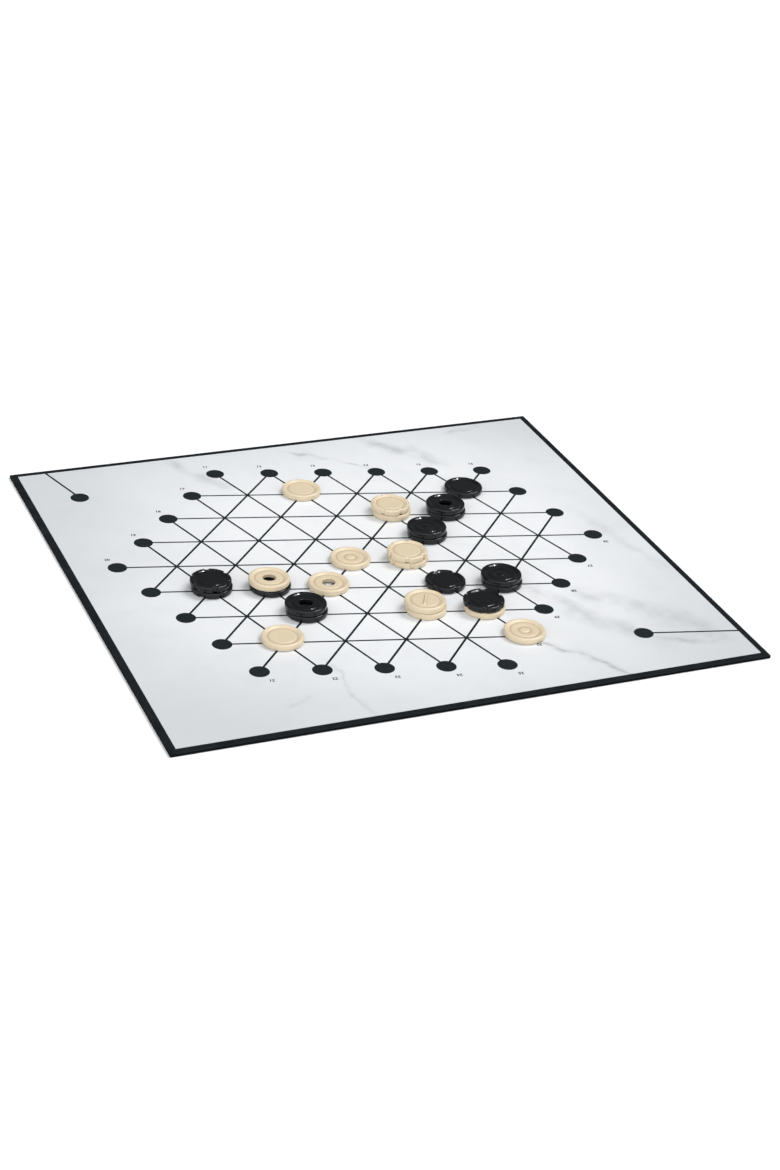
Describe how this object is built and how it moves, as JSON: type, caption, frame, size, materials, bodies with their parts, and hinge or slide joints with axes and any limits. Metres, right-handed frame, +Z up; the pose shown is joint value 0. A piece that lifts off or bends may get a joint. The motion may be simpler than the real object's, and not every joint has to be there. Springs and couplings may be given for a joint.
{
  "type": "abstract strategy board game",
  "caption": "Thin rectangular game board with a marble print and a lattice of lines and rim spots, with loose ivory and black discs standing singly and in stacks.",
  "frame": {"origin": "middle of the board's underside, on the surface it lies on", "axes": "+X along the board's long side, +Y along its short side away from the near edge, +Z up from the underside to the printed face"},
  "size_m": [0.412, 0.38, 0.0114],
  "materials": {
    "dark_linen_paper": "dark slate covering paper with a fine linen emboss",
    "greyboard": "compressed grey paperboard",
    "marble_print": "satin printed sheet, pale grey marble with thin black lines and spots",
    "ivory_plastic": "satin-gloss ivory moulding",
    "black_plastic": "glossy black moulding"
  },
  "bodies": {
    "board": {"dark_wrap_cover": "dark_linen_paper", "greyboard_core": "greyboard", "printed_face_sheet": "marble_print"},
    "ivory_plain_disc_1": {"ivory_plain_disc_1": "ivory_plastic"},
    "ivory_plain_disc_2_lower": {"ivory_plain_disc_2_lower": "ivory_plastic"},
    "ivory_notched_disc_2_upper": {"ivory_notched_disc_2_upper": "ivory_plastic"},
    "black_plain_disc_3": {"black_plain_disc_3": "black_plastic"},
    "black_hole_disc_4_lower": {"black_hole_disc_4_lower": "black_plastic"},
    "black_hole_disc_4_upper": {"black_hole_disc_4_upper": "black_plastic"},
    "black_button_disc_5_lower": {"black_button_disc_5_lower": "black_plastic"},
    "black_button_disc_5_upper": {"black_button_disc_5_upper": "black_plastic"},
    "ivory_button_disc_6": {"ivory_button_disc_6": "ivory_plastic"},
    "ivory_notched_disc_7_lower": {"ivory_notched_disc_7_lower": "ivory_plastic"},
    "ivory_notched_disc_7_upper": {"ivory_notched_disc_7_upper": "ivory_plastic"},
    "black_notched_disc_8_lower": {"black_notched_disc_8_lower": "black_plastic"},
    "black_notched_disc_8_upper": {"black_notched_disc_8_upper": "black_plastic"},
    "black_hole_disc_9_lower": {"black_hole_disc_9_lower": "black_plastic"},
    "ivory_hole_disc_9_upper": {"ivory_hole_disc_9_upper": "ivory_plastic"},
    "ivory_hole_disc_10": {"ivory_hole_disc_10": "ivory_plastic"},
    "black_hole_disc_11_lower": {"black_hole_disc_11_lower": "black_plastic"},
    "black_hole_disc_11_upper": {"black_hole_disc_11_upper": "black_plastic"},
    "ivory_plain_disc_12": {"ivory_plain_disc_12": "ivory_plastic"},
    "ivory_bar_disc_13_lower": {"ivory_bar_disc_13_lower": "ivory_plastic"},
    "ivory_bar_disc_13_upper": {"ivory_bar_disc_13_upper": "ivory_plastic"},
    "black_notched_disc_14": {"black_notched_disc_14": "black_plastic"},
    "black_button_disc_15_lower": {"black_button_disc_15_lower": "black_plastic"},
    "black_button_disc_15_upper": {"black_button_disc_15_upper": "black_plastic"},
    "ivory_plain_disc_16_lower": {"ivory_plain_disc_16_lower": "ivory_plastic"},
    "black_notched_disc_16_upper": {"black_notched_disc_16_upper": "black_plastic"},
    "ivory_button_disc_17": {"ivory_button_disc_17": "ivory_plastic"}
  },
  "joints": [
    {"name": "lift_ivory_plain_disc_1", "type": "slide", "parent": "board", "child": "ivory_plain_disc_1", "axis": [0, 0, 1], "range_m": [0, 0.03]},
    {"name": "lift_ivory_plain_disc_2_lower", "type": "slide", "parent": "board", "child": "ivory_plain_disc_2_lower", "axis": [0, 0, 1], "range_m": [0, 0.03]},
    {"name": "lift_ivory_notched_disc_2_upper", "type": "slide", "parent": "ivory_plain_disc_2_lower", "child": "ivory_notched_disc_2_upper", "axis": [0, 0, 1], "range_m": [0, 0.03]},
    {"name": "lift_black_plain_disc_3", "type": "slide", "parent": "board", "child": "black_plain_disc_3", "axis": [0, 0, 1], "range_m": [0, 0.03]},
    {"name": "lift_black_hole_disc_4_lower", "type": "slide", "parent": "board", "child": "black_hole_disc_4_lower", "axis": [0, 0, 1], "range_m": [0, 0.03]},
    {"name": "lift_black_hole_disc_4_upper", "type": "slide", "parent": "black_hole_disc_4_lower", "child": "black_hole_disc_4_upper", "axis": [0, 0, 1], "range_m": [0, 0.03]},
    {"name": "lift_black_button_disc_5_lower", "type": "slide", "parent": "board", "child": "black_button_disc_5_lower", "axis": [0, 0, 1], "range_m": [0, 0.03]},
    {"name": "lift_black_button_disc_5_upper", "type": "slide", "parent": "black_button_disc_5_lower", "child": "black_button_disc_5_upper", "axis": [0, 0, 1], "range_m": [0, 0.03]},
    {"name": "lift_ivory_button_disc_6", "type": "slide", "parent": "board", "child": "ivory_button_disc_6", "axis": [0, 0, 1], "range_m": [0, 0.03]},
    {"name": "lift_ivory_notched_disc_7_lower", "type": "slide", "parent": "board", "child": "ivory_notched_disc_7_lower", "axis": [0, 0, 1], "range_m": [0, 0.03]},
    {"name": "lift_ivory_notched_disc_7_upper", "type": "slide", "parent": "ivory_notched_disc_7_lower", "child": "ivory_notched_disc_7_upper", "axis": [0, 0, 1], "range_m": [0, 0.03]},
    {"name": "lift_black_notched_disc_8_lower", "type": "slide", "parent": "board", "child": "black_notched_disc_8_lower", "axis": [0, 0, 1], "range_m": [0, 0.03]},
    {"name": "lift_black_notched_disc_8_upper", "type": "slide", "parent": "black_notched_disc_8_lower", "child": "black_notched_disc_8_upper", "axis": [0, 0, 1], "range_m": [0, 0.03]},
    {"name": "lift_black_hole_disc_9_lower", "type": "slide", "parent": "board", "child": "black_hole_disc_9_lower", "axis": [0, 0, 1], "range_m": [0, 0.03]},
    {"name": "lift_ivory_hole_disc_9_upper", "type": "slide", "parent": "black_hole_disc_9_lower", "child": "ivory_hole_disc_9_upper", "axis": [0, 0, 1], "range_m": [0, 0.03]},
    {"name": "lift_ivory_hole_disc_10", "type": "slide", "parent": "board", "child": "ivory_hole_disc_10", "axis": [0, 0, 1], "range_m": [0, 0.03]},
    {"name": "lift_black_hole_disc_11_lower", "type": "slide", "parent": "board", "child": "black_hole_disc_11_lower", "axis": [0, 0, 1], "range_m": [0, 0.03]},
    {"name": "lift_black_hole_disc_11_upper", "type": "slide", "parent": "black_hole_disc_11_lower", "child": "black_hole_disc_11_upper", "axis": [0, 0, 1], "range_m": [0, 0.03]},
    {"name": "lift_ivory_plain_disc_12", "type": "slide", "parent": "board", "child": "ivory_plain_disc_12", "axis": [0, 0, 1], "range_m": [0, 0.03]},
    {"name": "lift_ivory_bar_disc_13_lower", "type": "slide", "parent": "board", "child": "ivory_bar_disc_13_lower", "axis": [0, 0, 1], "range_m": [0, 0.03]},
    {"name": "lift_ivory_bar_disc_13_upper", "type": "slide", "parent": "ivory_bar_disc_13_lower", "child": "ivory_bar_disc_13_upper", "axis": [0, 0, 1], "range_m": [0, 0.03]},
    {"name": "lift_black_notched_disc_14", "type": "slide", "parent": "board", "child": "black_notched_disc_14", "axis": [0, 0, 1], "range_m": [0, 0.03]},
    {"name": "lift_black_button_disc_15_lower", "type": "slide", "parent": "board", "child": "black_button_disc_15_lower", "axis": [0, 0, 1], "range_m": [0, 0.03]},
    {"name": "lift_black_button_disc_15_upper", "type": "slide", "parent": "black_button_disc_15_lower", "child": "black_button_disc_15_upper", "axis": [0, 0, 1], "range_m": [0, 0.03]},
    {"name": "lift_ivory_plain_disc_16_lower", "type": "slide", "parent": "board", "child": "ivory_plain_disc_16_lower", "axis": [0, 0, 1], "range_m": [0, 0.03]},
    {"name": "lift_black_notched_disc_16_upper", "type": "slide", "parent": "ivory_plain_disc_16_lower", "child": "black_notched_disc_16_upper", "axis": [0, 0, 1], "range_m": [0, 0.03]},
    {"name": "lift_ivory_button_disc_17", "type": "slide", "parent": "board", "child": "ivory_button_disc_17", "axis": [0, 0, 1], "range_m": [0, 0.03]}
  ]
}
